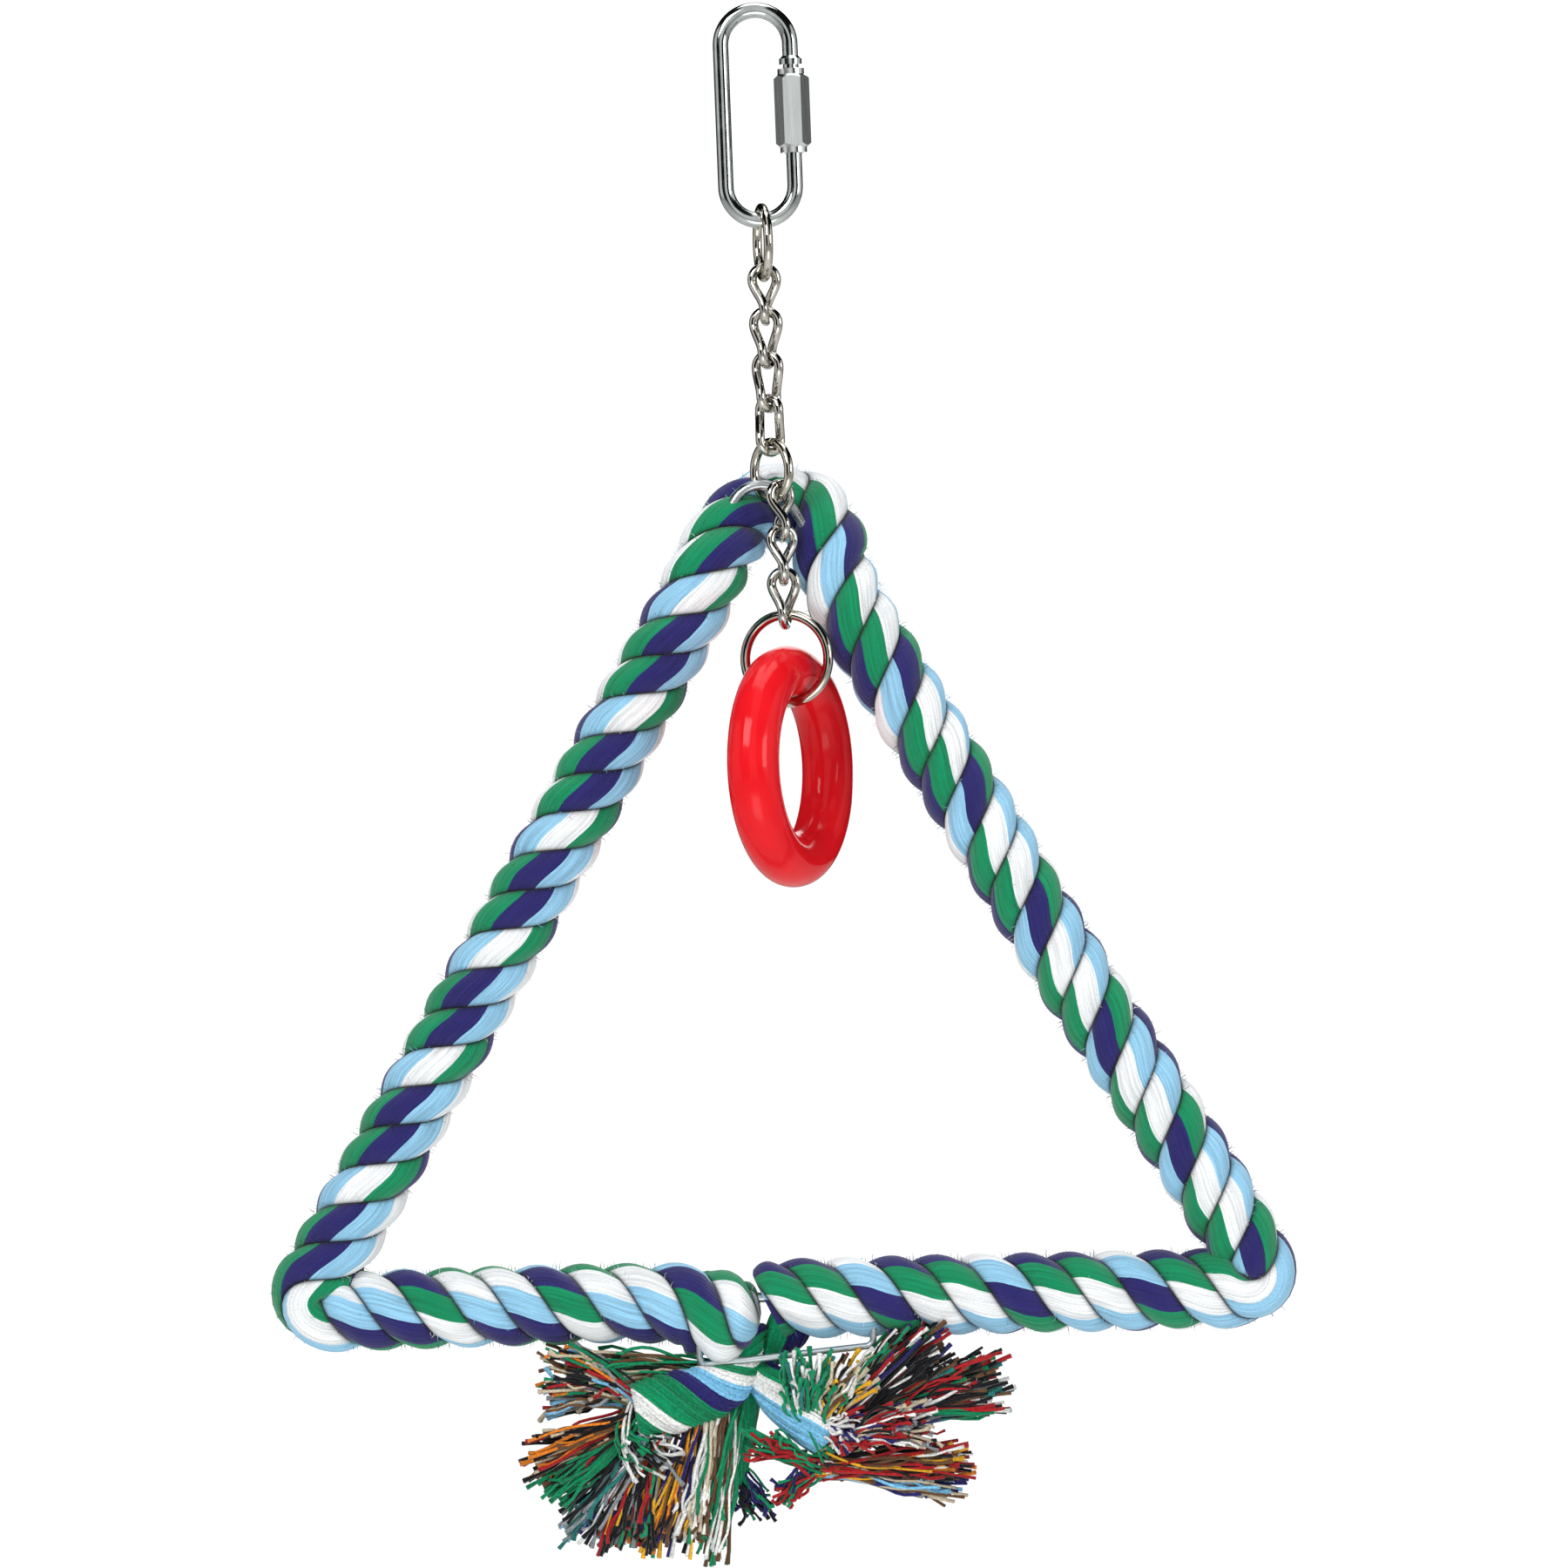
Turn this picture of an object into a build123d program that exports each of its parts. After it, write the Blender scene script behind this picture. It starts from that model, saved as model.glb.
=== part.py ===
from build123d import *
import os
from math import asin, atan2, cos, radians, sin

# A triangular rope swing for a pet bird, hung from a quick link. Millimetres, +Z up, and the
# front of the swing looks along -Y. The origin is the inside top of the quick link's bow,
# where a cage bar or a hook carries the swing. Every loop hangs straight below the last one.

# Quick link: a bent rod with a gate in its right arm, closed by a hexagonal sleeve nut
QUICK_ROD = 4.7
QUICK_INSIDE_WIDTH = 15.6
QUICK_INSIDE_HEIGHT = 57.0
GATE_TOP = 18.7            # from the origin down to the end of the upper arm
GATE_OPENING = 5.6         # bare gap in the rod once the nut is run down
COLLAR_DIAMETER = 6.8
COLLAR_LENGTH = 2.6
COLLAR_CHAMFER = 0.84
COLLAR_TO_NUT = 1.2
NUT_LENGTH = 24.6
NUT_ACROSS_FLATS = 9.0
NUT_RIM_DIAMETER = 8.0
NUT_RIM_LENGTH = 1.6
NUT_CHAMFER = 0.5
NUT_TOP = 15.3             # from the origin down to the closed nut's upper rim
THREAD_CLEARANCE = 0.15

# Welded rings, twisted chain and the steel triangle inside the rope
RING_WIRE = 2.8
TOP_RING_OUTSIDE = 23.5
APEX_RING_PLAY = 2.9       # room left across the apex ring beside the steel and three chain wires
LARGE_RING_WIRE = 3.0
LARGE_RING_OUTSIDE = 28.8
CHAIN_WIRE = 2.8
CHAIN_INSIDE_LENGTH = 13.0
CHAIN_PLAY = 1.6           # room inside a link beside the wire of the next one
CHAIN_TWIST = 74.0         # how far a link's lower bow is turned from its upper one
UPPER_LINKS = 4
LOWER_LINKS = 3
CONTACT = 0.2              # gap left where one loop rests in another
BEND_CONTACT = 0.5         # and where the steel triangle's tight bend rests in the apex ring

# Turn of each loop about the vertical: 0 faces the front, and positive brings its right side forward
TOP_RING_TURN = 81.0
APEX_RING_TURN = 54.0
LARGE_RING_TURN = 20.0
TOY_RING_TURN = -67.0
FRAME_SEAT = -40.0         # where the steel triangle rests round the apex ring, from its lowest point
CHAIN_SEAT = 45.0          # where the lower chain hangs round the apex ring

# Moulded toy ring
TOY_TUBE = 15.2
TOY_OUTSIDE = 71.0

# Steel triangle and the rope on it, measured to where the centre lines of their sides meet
FRAME_WIRE = 3.0
FRAME_HEIGHT = 247.0
FRAME_WIDTH = 289.4
FRAME_CENTRE_X = -3.5
FRAME_TOP_BEND = 9.0
FRAME_BUTT = 30.0          # from the right rope end to where the wire's two ends meet, inside the rope
FRAME_BUTT_GAP = 0.4
ROPE_DIAMETER = 23.2
ROPE_GRIP = 0.1            # gap between the steel and the rope laid round it
CORNER_CREASE = 1.4        # inside radius left in the rope where it turns each lower corner
CROWN_CREASE = 0.9         # and where it turns over the top
ROPE_TOP_DROP = 9.0        # the rope's sides meet this far below the steel's
ROPE_TOP_SHIFT = 3.0       # and this far to the right of them
CROWN_BEHIND_STEEL = 5.9   # the crown's front lies behind the steel, so that the ring hangs free
ROPE_NECK = 50.0           # length of each side over which the rope leans back
ROPE_NECK_BEND = 50.0
ROPE_LEFT_END = -18.0      # the rope's two ends face each other across a gap in the perch
ROPE_RIGHT_END = -11.0

# Galvanised staple under the rope's ends, and the unlaid tails that it holds
STAPLE_WIRE = 2.0
STAPLE_LEFT = -31.0
STAPLE_RIGHT = 20.0
STAPLE_FORWARD = 5.0
STAPLE_LEFT_HANG = 7.4     # from the rope's underside down to the staple's back, at its left bend
STAPLE_RIGHT_HANG = 3.5    # and at its right bend
STAPLE_DEPTH = 7.0         # how far its points go up into the rope
STAPLE_BEND = 2.2
TAIL_NECK = 5.4            # diameter of a tail where it comes down through the gap
TAIL_GAP = 0.4             # gap between a tail and the steel and the next tail behind it

# Stations of each tail below its neck: across and back from the front neck, down from the
# perch's centre line, and the tail's thickness there
LEFT_TAIL = ((-10.5, -3.0, 27.5, 13.0), (-31.5, -3.0, 34.0, 15.0))
RIGHT_TAIL = ((9.5, 4.8, 29.5, 12.5), (19.5, 0.0, 42.0, 15.0))
HANGING_TAIL = ((-5.0, 14.0, 31.5, 9.0), (-10.0, 13.0, 52.0, 15.0))

# Tufts of loose yarn at the tails' ends: their root and their tips, placed in the same way
FRAY_ROOT = 6.0
FRAY_THICKNESS = 20.0
LEFT_FRAY = ((-41.0, -3.0, 40.0), (-64.5, -3.0, 27.0), (-55.5, -3.0, 62.0), (-32.5, -3.0, 66.0))
RIGHT_FRAY = ((31.5, 0.0, 44.0), (66.5, 0.0, 28.0), (58.5, 0.0, 48.0), (38.5, 0.0, 54.0))


def heading(turn):
    """Level direction to the right of a loop turned about the vertical."""
    return Vector(cos(radians(turn)), -sin(radians(turn)), 0)


def normal(turn):
    """Level direction square to a loop turned about the vertical."""
    return Vector(sin(radians(turn)), cos(radians(turn)), 0)


def round_bar(path, diameter):
    """A round bar of one diameter along a path."""
    section = Plane(path @ 0, z_dir=path % 0) * Circle(diameter / 2)
    return sweep(section, path=path)


def welded_ring(centre, outside, wire, turn):
    """A round ring hanging upright about its centre."""
    return Plane(centre, z_dir=normal(turn)) * Torus((outside - wire) / 2, wire / 2)


def bow(centre, turn, rise):
    """Half-round end of a chain link, from its left leg to its right leg."""
    reach = heading(turn) * (chain_width - CHAIN_WIRE) / 2
    return ThreePointArc(centre - reach, centre + Vector(0, 0, rise), centre + reach)


def twisted_link(top, turn):
    """A chain link hanging from the centre of its top wire, its lower bow turned back by the twist."""
    half_width = (chain_width - CHAIN_WIRE) / 2
    upper_centre = top - Vector(0, 0, half_width)
    lower_centre = top - Vector(0, 0, chain_pitch - half_width)
    upper = bow(upper_centre, turn, half_width)
    lower = bow(lower_centre, turn - CHAIN_TWIST, -half_width)
    sag = Vector(0, 0, (upper_centre.Z - lower_centre.Z) / 3)
    legs = [Bezier(upper @ end, upper @ end - sag, lower @ end + sag, lower @ end) for end in (0, 1)]
    pieces = [round_bar(edge, CHAIN_WIRE) for edge in [upper, lower] + legs]
    return pieces[0].fuse(*pieces[1:])


def hung_on(wire_centre, parent_wire, child_wire):
    """Centre of a wire that rests on top of another wire."""
    return wire_centre + Vector(0, 0, (parent_wire + child_wire) / 2 + CONTACT)


def taper(start, start_diameter, end, end_diameter):
    """A round bundle of yarn from one point to another, with round ends."""
    axis = end - start
    sides = (start_diameter / 2, end_diameter / 2)
    if start_diameter == end_diameter:
        bar = Cylinder(sides[0], axis.length, align=(Align.CENTER, Align.CENTER, Align.MIN))
    else:
        bar = Cone(*sides, axis.length, align=(Align.CENTER, Align.CENTER, Align.MIN))
    bar = Plane(start, z_dir=axis) * bar
    return bar.fuse(Pos(*start) * Sphere(sides[0]), Pos(*end) * Sphere(sides[1]))


parts = {}
chain_width = 3 * CHAIN_WIRE + CHAIN_PLAY
chain_pitch = CHAIN_INSIDE_LENGTH + CHAIN_WIRE

# Quick link: the rod runs from the end of the upper arm round both bows to the lower arm
arm_x = (QUICK_INSIDE_WIDTH + QUICK_ROD) / 2
bow_top = Vector(0, 0, QUICK_ROD / 2)
bow_bottom = Vector(0, 0, -QUICK_INSIDE_HEIGHT - QUICK_ROD / 2)
upper_bow_z = bow_top.Z - arm_x
lower_bow_z = bow_bottom.Z + arm_x
gate_bottom = GATE_TOP + GATE_OPENING
rod_path = Wire(
    [
        Line((arm_x, 0, -GATE_TOP), (arm_x, 0, upper_bow_z)),
        ThreePointArc((arm_x, 0, upper_bow_z), bow_top, (-arm_x, 0, upper_bow_z)),
        Line((-arm_x, 0, upper_bow_z), (-arm_x, 0, lower_bow_z)),
        ThreePointArc((-arm_x, 0, lower_bow_z), bow_bottom, (arm_x, 0, lower_bow_z)),
        Line((arm_x, 0, lower_bow_z), (arm_x, 0, -gate_bottom)),
    ]
)
collar = Cylinder(COLLAR_DIAMETER / 2, COLLAR_LENGTH, align=(Align.CENTER, Align.CENTER, Align.MIN))
collar = chamfer(collar.edges().group_by(Axis.Z)[-1], COLLAR_CHAMFER)
collar = Pos(arm_x, 0, COLLAR_TO_NUT - NUT_TOP) * collar
parts["quick_link_body"] = round_bar(rod_path, QUICK_ROD).fuse(collar)

# Sleeve nut: a hexagon turned down to a round rim at both ends, bored to run on the arm's thread
hexagon = extrude(RegularPolygon(NUT_ACROSS_FLATS / 2, 6, major_radius=False), NUT_LENGTH / 2, both=True)
turning = make_face(
    Polyline(
        (0, -NUT_LENGTH / 2),
        (NUT_RIM_DIAMETER / 2, -NUT_LENGTH / 2),
        (NUT_RIM_DIAMETER / 2, NUT_RIM_LENGTH - NUT_LENGTH / 2),
        (NUT_ACROSS_FLATS, NUT_RIM_LENGTH - NUT_LENGTH / 2 + NUT_ACROSS_FLATS - NUT_RIM_DIAMETER / 2),
        (NUT_ACROSS_FLATS, NUT_LENGTH / 2 - NUT_RIM_LENGTH - NUT_ACROSS_FLATS + NUT_RIM_DIAMETER / 2),
        (NUT_RIM_DIAMETER / 2, NUT_LENGTH / 2 - NUT_RIM_LENGTH),
        (NUT_RIM_DIAMETER / 2, NUT_LENGTH / 2),
        (0, NUT_LENGTH / 2),
        close=True,
    )
)
turned = revolve(Plane.XZ * turning, axis=Axis.Z)
nut_bore = Cylinder(QUICK_ROD / 2 + THREAD_CLEARANCE, NUT_LENGTH)
sleeve_nut = (hexagon & turned) - nut_bore
mouths = sleeve_nut.edges().filter_by(GeomType.CIRCLE)
mouths = mouths.filter_by(lambda edge: edge.radius < NUT_RIM_DIAMETER / 2 - NUT_CHAMFER)
sleeve_nut = chamfer(mouths, NUT_CHAMFER)
parts["sleeve_nut"] = Pos(arm_x, 0, -NUT_TOP - NUT_LENGTH / 2) * sleeve_nut

# Top ring on the quick link's lower bow
top_ring_radius = (TOP_RING_OUTSIDE - RING_WIRE) / 2
top_ring_top = hung_on(bow_bottom, QUICK_ROD, RING_WIRE)
top_ring_centre = top_ring_top - Vector(0, 0, top_ring_radius)
parts["top_ring"] = welded_ring(top_ring_centre, TOP_RING_OUTSIDE, RING_WIRE, TOP_RING_TURN)


def hang_chain(first, count, wire_centre, parent_wire, parent_turn):
    """Add a run of twisted links, each square to the bow that it hangs on; return where it ends."""
    turn = parent_turn - 90
    top = hung_on(wire_centre, parent_wire, CHAIN_WIRE)
    for number in range(first, first + count):
        parts[f"chain_link_{number}"] = twisted_link(top, turn)
        bottom = top - Vector(0, 0, chain_pitch)
        turn = turn - CHAIN_TWIST + 90
        top = hung_on(bottom, CHAIN_WIRE, CHAIN_WIRE)
    return bottom


# Upper chain, then the apex ring that carries both the swing and the lower chain
top_ring_bottom = top_ring_centre - Vector(0, 0, top_ring_radius)
upper_end = hang_chain(1, UPPER_LINKS, top_ring_bottom, RING_WIRE, TOP_RING_TURN)
apex_ring_inside = FRAME_WIRE + 3 * CHAIN_WIRE + APEX_RING_PLAY
apex_radius = (apex_ring_inside + RING_WIRE) / 2
apex_centre = hung_on(upper_end, CHAIN_WIRE, RING_WIRE) - Vector(0, 0, apex_radius)
parts["apex_ring"] = welded_ring(
    apex_centre, apex_ring_inside + 2 * RING_WIRE, RING_WIRE, APEX_RING_TURN
)

# Lower chain: its top wire lies inside the apex ring, on the ring's lower right
chain_seat_radius = apex_radius - (RING_WIRE + CHAIN_WIRE) / 2 - CONTACT
chain_top = apex_centre + heading(APEX_RING_TURN) * chain_seat_radius * sin(radians(CHAIN_SEAT))
chain_top = chain_top - Vector(0, 0, chain_seat_radius * cos(radians(CHAIN_SEAT)))
below_chain_top = chain_top - Vector(0, 0, CHAIN_WIRE + CONTACT)
lower_end = hang_chain(UPPER_LINKS + 1, LOWER_LINKS, below_chain_top, CHAIN_WIRE, APEX_RING_TURN)

# Large ring on the last link, and the toy ring threaded on it
large_radius = (LARGE_RING_OUTSIDE - LARGE_RING_WIRE) / 2
large_centre = hung_on(lower_end, CHAIN_WIRE, LARGE_RING_WIRE) - Vector(0, 0, large_radius)
parts["large_ring"] = welded_ring(large_centre, LARGE_RING_OUTSIDE, LARGE_RING_WIRE, LARGE_RING_TURN)
large_bottom = large_centre - Vector(0, 0, large_radius)
toy_centre = hung_on(large_bottom, LARGE_RING_WIRE, TOY_TUBE) - Vector(0, 0, (TOY_OUTSIDE - TOY_TUBE) / 2)
parts["toy_ring"] = welded_ring(toy_centre, TOY_OUTSIDE, TOY_TUBE, TOY_RING_TURN)

# Steel triangle: its top bend rests inside the apex ring, on the ring's lower left
seat_radius = apex_radius - (RING_WIRE + FRAME_WIRE) / 2 - BEND_CONTACT
seat = apex_centre + heading(APEX_RING_TURN) * seat_radius * sin(radians(FRAME_SEAT))
seat = seat - Vector(0, 0, seat_radius * cos(radians(FRAME_SEAT)))
frame_y = seat.Y
half_angle = atan2(FRAME_WIDTH / 2, FRAME_HEIGHT)
seat_slope = asin((seat.X - FRAME_CENTRE_X) / FRAME_TOP_BEND)
frame_top_z = seat.Z + FRAME_TOP_BEND * (1 - cos(seat_slope))
frame_apex_z = frame_top_z + FRAME_TOP_BEND * (1 / sin(half_angle) - 1)
perch_z = frame_apex_z - FRAME_HEIGHT
left_corner = Vector(FRAME_CENTRE_X - FRAME_WIDTH / 2, frame_y, perch_z)
right_corner = Vector(FRAME_CENTRE_X + FRAME_WIDTH / 2, frame_y, perch_z)
frame_apex = Vector(FRAME_CENTRE_X, frame_y, frame_apex_z)
butt_right = Vector(ROPE_RIGHT_END + FRAME_BUTT + FRAME_BUTT_GAP, frame_y, perch_z)
butt_left = Vector(ROPE_RIGHT_END + FRAME_BUTT, frame_y, perch_z)
corner_bend = ROPE_DIAMETER / 2 + CORNER_CREASE
frame_path = FilletPolyline(
    butt_right, right_corner, frame_apex, left_corner, butt_left,
    radius=[corner_bend, FRAME_TOP_BEND, corner_bend],
)
frame_wire = round_bar(frame_path, FRAME_WIRE)

# Staple: a straight back slung under both rope ends, with its two points bent up into the rope
staple_y = frame_y - STAPLE_FORWARD
rope_underside = perch_z - ((ROPE_DIAMETER / 2) ** 2 - STAPLE_FORWARD**2) ** 0.5
staple_low_z = rope_underside - STAPLE_LEFT_HANG - STAPLE_WIRE / 2
staple_high_z = rope_underside - STAPLE_RIGHT_HANG - STAPLE_WIRE / 2
staple_point_z = rope_underside + STAPLE_DEPTH
staple_path = FilletPolyline(
    (STAPLE_LEFT, staple_y, staple_point_z),
    (STAPLE_LEFT, staple_y, staple_low_z),
    (STAPLE_RIGHT, staple_y, staple_high_z),
    (STAPLE_RIGHT, staple_y, staple_point_z),
    radius=STAPLE_BEND,
)
staple = round_bar(staple_path, STAPLE_WIRE)

# Rope: one laid rope from end to end of the perch, round the triangle, kept here as two sides
# and the crown between them, which lies behind the apex ring
crown_bend = ROPE_DIAMETER / 2 + CROWN_CREASE
crown_y = frame_y + ROPE_DIAMETER / 2 + CROWN_BEHIND_STEEL
rope_apex = Vector(FRAME_CENTRE_X + ROPE_TOP_SHIFT, crown_y, frame_apex_z - ROPE_TOP_DROP)
side_angle = atan2(FRAME_WIDTH / 2, rope_apex.Z - perch_z)
neck_z = rope_apex.Z - ROPE_NECK * cos(side_angle)
neck_reach = ROPE_NECK * sin(side_angle)
rope_path = FilletPolyline(
    (ROPE_LEFT_END, frame_y, perch_z),
    left_corner,
    (FRAME_CENTRE_X - neck_reach, frame_y, neck_z),
    rope_apex,
    (FRAME_CENTRE_X + neck_reach, frame_y, neck_z),
    right_corner,
    (ROPE_RIGHT_END, frame_y, perch_z),
    radius=[corner_bend, ROPE_NECK_BEND, crown_bend, ROPE_NECK_BEND, corner_bend],
)
stretches = rope_path.edges()
middle = len(stretches) // 2
steel_bores = round_bar(frame_path, FRAME_WIRE + 2 * ROPE_GRIP)
steel_bores += round_bar(staple_path, STAPLE_WIRE + 2 * ROPE_GRIP)
rope_left = round_bar(Wire(stretches[:middle]), ROPE_DIAMETER) - steel_bores
rope_crown = round_bar(Wire(stretches[middle:middle + 1]), ROPE_DIAMETER) - steel_bores
rope_right = round_bar(Wire(stretches[middle + 1:]), ROPE_DIAMETER) - steel_bores
parts["rope_left"] = rope_left
parts["rope_crown"] = rope_crown
parts["rope_right"] = rope_right
parts["frame_wire"] = frame_wire
parts["end_staple"] = staple


# Tails: the unlaid strands come down through the gap behind the staple, one behind another,
# and open out below it
gap_x = (ROPE_LEFT_END + ROPE_RIGHT_END) / 2
neck_top = FRAME_WIRE / 2 + TAIL_GAP + TAIL_NECK / 2
neck_bottom = perch_z - staple_low_z + STAPLE_WIRE / 2 + TAIL_GAP + TAIL_NECK / 2
front_neck = STAPLE_WIRE / 2 + TAIL_GAP + TAIL_NECK / 2 - STAPLE_FORWARD


def below_perch(across, back, drop):
    """A point below the perch, measured from the front neck and the perch's centre line."""
    return Vector(gap_x + across, frame_y + front_neck + back, perch_z - drop)


def tail(place, stations):
    """A bundle of yarn from the neck at its place in the row, through points with a thickness each."""
    back = place * (TAIL_NECK + TAIL_GAP)
    points = [(below_perch(0, back, drop), TAIL_NECK) for drop in (neck_top, neck_bottom)]
    points += [(below_perch(*station[:3]), station[3]) for station in stations]
    pieces = [taper(*start, *end) for start, end in zip(points, points[1:])]
    return pieces[0].fuse(*pieces[1:])


def fray(root, *tips):
    """Tufts of loose yarn that spread from one root."""
    pieces = [taper(below_perch(*root), FRAY_ROOT, below_perch(*tip), FRAY_THICKNESS) for tip in tips]
    return pieces[0].fuse(*pieces[1:])


parts["left_tail"] = tail(0, LEFT_TAIL)
parts["right_tail"] = tail(1, RIGHT_TAIL)
parts["hanging_tail"] = tail(2, HANGING_TAIL)

# Frays: where the tails have come apart into single yarns
parts["left_fray"] = fray(*LEFT_FRAY)
parts["right_fray"] = fray(*RIGHT_FRAY)

os.makedirs("parts", exist_ok=True)
for name, solid in parts.items():
    export_step(solid, f"parts/{name}.step")
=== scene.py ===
import math

import bpy
import numpy as np
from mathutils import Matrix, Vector


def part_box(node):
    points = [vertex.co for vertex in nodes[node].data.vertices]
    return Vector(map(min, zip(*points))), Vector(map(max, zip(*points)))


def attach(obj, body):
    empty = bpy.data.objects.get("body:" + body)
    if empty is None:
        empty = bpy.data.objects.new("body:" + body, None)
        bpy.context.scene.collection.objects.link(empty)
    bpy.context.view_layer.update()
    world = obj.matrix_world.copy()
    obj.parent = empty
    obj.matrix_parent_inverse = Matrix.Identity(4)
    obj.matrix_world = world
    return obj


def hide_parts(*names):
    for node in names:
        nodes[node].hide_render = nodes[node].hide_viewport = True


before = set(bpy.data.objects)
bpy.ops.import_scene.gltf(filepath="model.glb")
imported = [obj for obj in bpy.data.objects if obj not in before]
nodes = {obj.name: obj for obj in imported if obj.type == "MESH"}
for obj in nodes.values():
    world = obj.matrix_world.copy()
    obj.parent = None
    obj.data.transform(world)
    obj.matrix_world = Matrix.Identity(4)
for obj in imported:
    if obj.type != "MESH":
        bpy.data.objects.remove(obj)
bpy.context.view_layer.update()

# ---- Camera, floor and light ----
# The swing hangs free in a white studio. A long lens looks at it level from the front, held a
# little off upright, and the pale floor is far enough below it to stay out of that view.
bpy.context.scene.view_settings.view_transform = "Standard"
VIEW_CENTRE = Vector((0.0001, 0.0, -0.2246))
VIEW_DISTANCE = 2.4
VIEW_HEIGHT = 0.4595
CAMERA_ROLL = math.radians(2.2)
bpy.ops.object.camera_add(
    location=VIEW_CENTRE - Vector((0, VIEW_DISTANCE, 0)), rotation=(math.pi / 2, CAMERA_ROLL, 0)
)
camera = bpy.context.object
camera.data.lens = camera.data.sensor_width * VIEW_DISTANCE / VIEW_HEIGHT
bpy.context.scene.camera = camera


def linear(colour):
    """An sRGB hex colour as the linear values that shaders take."""
    channels = [int(colour[place:place + 2], 16) / 255 for place in (1, 3, 5)]
    return tuple(c / 12.92 if c <= 0.04045 else ((c + 0.055) / 1.055) ** 2.4 for c in channels) + (1.0,)


def add_node(tree, kind, inputs=(), **settings):
    """Add one shader node, with its settings and with values or links for its inputs."""
    made = tree.nodes.new(kind)
    for name, value in settings.items():
        setattr(made, name, value)
    for socket, value in dict(inputs).items():
        if isinstance(value, bpy.types.NodeSocket):
            tree.links.new(value, made.inputs[socket])
        else:
            made.inputs[socket].default_value = value
    return made


def new_material(name):
    """An empty material and its node tree."""
    made = bpy.data.materials.new(name)
    made.use_nodes = True
    made.node_tree.nodes.clear()
    return made, made.node_tree


def finish_material(tree, shader):
    """Send a shader to the material's output."""
    add_node(tree, "ShaderNodeOutputMaterial", {"Surface": shader.outputs[0]})


def floor_paint(name):
    """Matt white paint, slightly mottled by the roller that laid it."""
    made, tree = new_material(name)
    grain = add_node(tree, "ShaderNodeTexNoise", {"Scale": 14.0, "Detail": 3.0})
    tint = add_node(tree, "ShaderNodeMix", {
        "Factor": grain.outputs["Fac"], "A": linear("#F4F4F2"), "B": linear("#FAFAF9"),
    }, data_type="RGBA")
    finish_material(tree, add_node(tree, "ShaderNodeBsdfPrincipled", {
        "Base Color": tint.outputs["Result"], "Roughness": 0.8,
    }))
    return made


# Floor of the studio, rolled with matt paint
FLOOR_DROP = 1.2
bpy.ops.mesh.primitive_circle_add(vertices=96, radius=6.0, fill_type="NGON", location=(0, 0, -FLOOR_DROP))
floor = bpy.context.object
floor.name = "studio_floor"
floor.data.materials.append(floor_paint("matt_white_floor_paint"))
bpy.ops.object.transform_apply(location=True, rotation=True, scale=True)

# Soft boxes: a strong one in front to the left, a weaker one to the right, one above, one behind
# and a low one for the perch's underside
SOFT_BOXES = (
    ("key_box", (-0.9, -1.5, 0.9), 0.9, 23.0),
    ("fill_box", (1.5, -1.2, 0.1), 0.7, 10.0),
    ("top_box", (0.1, 0.2, 1.5), 1.2, 12.0),
    ("back_box", (0.3, 1.7, 0.3), 1.2, 10.0),
    ("low_box", (0.0, -1.0, -1.1), 0.8, 5.0),
)
for name, place, width, power in SOFT_BOXES:
    bpy.ops.object.light_add(type="AREA", location=place)
    soft_box = bpy.context.object
    soft_box.name = name
    soft_box.data.size = width
    soft_box.data.energy = power
    aim = VIEW_CENTRE - Vector(place)
    soft_box.rotation_mode = "QUATERNION"
    soft_box.rotation_quaternion = aim.to_track_quat("-Z", "Y")

# White surroundings, with the darker bands of a real room for the plated metal to mirror
room = bpy.data.worlds.new("white_studio")
bpy.context.scene.world = room
room.use_nodes = True
tree = room.node_tree
tree.nodes.clear()
direction = add_node(tree, "ShaderNodeTexCoord")
warped = add_node(tree, "ShaderNodeTexNoise", {
    "Vector": direction.outputs["Generated"], "Scale": 1.6, "Detail": 1.0,
})
sideways = add_node(tree, "ShaderNodeSeparateXYZ", {0: direction.outputs["Generated"]})
aside = add_node(tree, "ShaderNodeMath", {0: sideways.outputs["X"]}, operation="ABSOLUTE")
uneven = add_node(tree, "ShaderNodeMath", {
    0: warped.outputs["Fac"], 1: 0.35, 2: aside.outputs[0],
}, operation="MULTIPLY_ADD")
dark = add_node(tree, "ShaderNodeValToRGB", {"Fac": uneven.outputs[0]})
for position, colour in ((0.36, "#FFFFFF"), (0.44, "#101215"), (0.98, "#101215")):
    dark.color_ramp.elements.new(position).color = linear(colour)
dark.color_ramp.elements[0].color = linear("#FFFFFF")
behind = add_node(tree, "ShaderNodeMapRange", {
    "Value": sideways.outputs["Y"], "From Min": 0.05, "From Max": 0.35, "To Min": 1.0, "To Max": 0.22,
})
toned = add_node(tree, "ShaderNodeMix", {
    "Factor": 1.0, "A": dark.outputs["Color"], "B": behind.outputs[0],
}, data_type="RGBA", blend_type="MULTIPLY")
seen = add_node(tree, "ShaderNodeLightPath")
glossy_light = add_node(tree, "ShaderNodeBackground", {"Color": toned.outputs["Result"], "Strength": 0.9})
soft_light = add_node(tree, "ShaderNodeBackground", {"Color": linear("#FFFFFF"), "Strength": 0.5})
bare_white = add_node(tree, "ShaderNodeBackground", {"Color": linear("#FFFFFF"), "Strength": 1.05})
lit = add_node(tree, "ShaderNodeMixShader", {
    "Fac": seen.outputs["Is Glossy Ray"], 1: soft_light.outputs[0], 2: glossy_light.outputs[0],
})
shown = add_node(tree, "ShaderNodeMixShader", {
    "Fac": seen.outputs["Is Camera Ray"], 1: lit.outputs[0], 2: bare_white.outputs[0],
})
add_node(tree, "ShaderNodeOutputWorld", {"Surface": shown.outputs[0]})

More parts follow.
